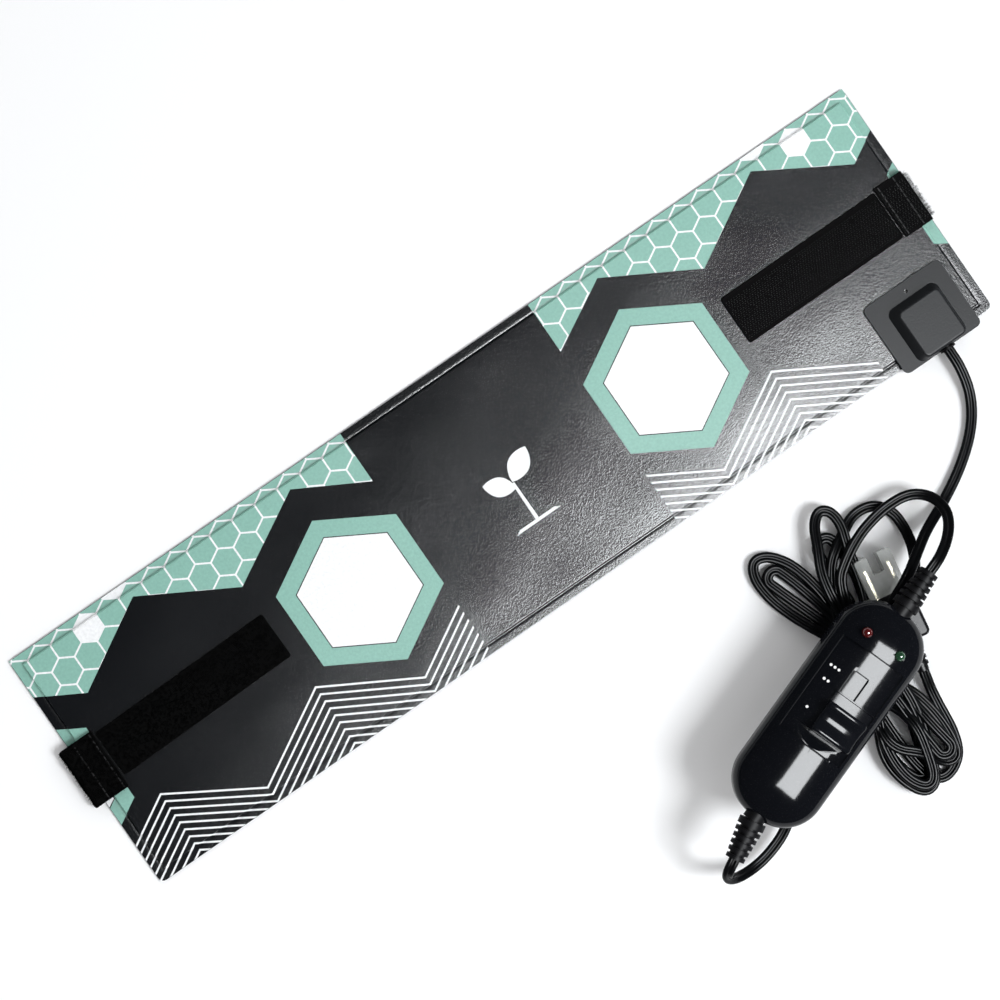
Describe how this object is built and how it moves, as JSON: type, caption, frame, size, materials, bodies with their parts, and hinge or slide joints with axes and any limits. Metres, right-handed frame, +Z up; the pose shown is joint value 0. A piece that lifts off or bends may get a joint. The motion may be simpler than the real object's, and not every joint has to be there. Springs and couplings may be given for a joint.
{
  "type": "seedling heat mat",
  "caption": "Narrow laminated heat mat for seedlings with hook and loop end straps, a power block, and a flat cord with an inline three-position controller.",
  "frame": {"origin": "centre of the mat's underside, on the surface that the mat lies on", "axes": "+X along the mat towards the end with the power block, +Y across it away from the edge where the cord leaves, +Z up out of the printed face"},
  "size_m": [0.512, 0.3182, 0.042],
  "materials": {
    "film": "satin, fine leather-like emboss",
    "felt": "matte felt",
    "heater": "satin carbon-printed film",
    "copper": "bare copper foil",
    "hook_webbing": "woven hook tape",
    "loop_webbing": "velvet loop tape",
    "thread": "polyester thread",
    "block_rubber": "matte moulded rubber",
    "soft_rubber": "satin moulded vinyl",
    "controller_shell": "polished",
    "switch_plastic": "satin gloss",
    "inner_plastic": "matte",
    "board": "solder mask",
    "capacitor_yellow": "gloss",
    "fuse_glass": "clear",
    "steel": "satin",
    "wire_insulation": "satin vinyl",
    "led_red": "tinted lens",
    "led_green": "tinted lens",
    "cord_vinyl": "satin gloss vinyl",
    "tie_wire": "matte",
    "plug_vinyl": "satin vinyl",
    "blade_metal": "nickelled brass",
    "clear_cover": "milky clear"
  },
  "bodies": {
    "root": {"bottom_film": "film", "top_film": "film", "felt_pad": "felt", "heating_film": "heater", "bus_bar_front": "copper", "bus_bar_rear": "copper", "bus_bar_link": "copper", "crimp_terminals": "copper", "hook_strap_tab": "hook_webbing", "loop_strap_tab": "loop_webbing", "hook_strap_stitching": "thread", "loop_strap_stitching": "thread", "power_block_cover": "block_rubber", "power_block_base": "block_rubber", "cord_gland": "soft_rubber", "upper_strain_relief": "soft_rubber", "lower_strain_relief": "soft_rubber", "controller_upper_shell": "controller_shell", "controller_lower_shell": "controller_shell", "slide_switch_body": "inner_plastic", "triac": "inner_plastic", "circuit_board": "board", "dropper_capacitor": "capacitor_yellow", "board_fuse": "fuse_glass", "shell_screws": "steel", "thermal_fuse": "steel", "block_wires": "wire_insulation", "red_led": "led_red", "green_led": "led_green", "mat_lead": "cord_vinyl", "supply_cord_lead": "cord_vinyl", "supply_cord_arc": "cord_vinyl", "cord_hank": "cord_vinyl", "hank_tie": "tie_wire", "plug_body": "plug_vinyl", "plug_blades": "blade_metal", "blade_cover": "clear_cover"},
    "hook_strap": {"hook_strap_tail": "hook_webbing"},
    "loop_strap": {"loop_strap_tail": "loop_webbing"},
    "mode_switch": {"switch_thumb": "switch_plastic", "switch_slider": "inner_plastic"}
  },
  "joints": [
    {"name": "hook_strap_fold", "type": "hinge", "parent": "root", "child": "hook_strap", "pos_m": [0.237, 0.0009, 0.00428], "axis": [0, 1, 0], "range_deg": [0, 180]},
    {"name": "loop_strap_fold", "type": "hinge", "parent": "root", "child": "loop_strap", "pos_m": [-0.239, -0.0005, 0.00428], "axis": [0, -1, 0], "range_deg": [0, 180]},
    {"name": "mode_switch_slide", "type": "slide", "parent": "root", "child": "mode_switch", "axis": [0.9426, 0.3338, 0], "range_m": [0, 0.023]}
  ]
}
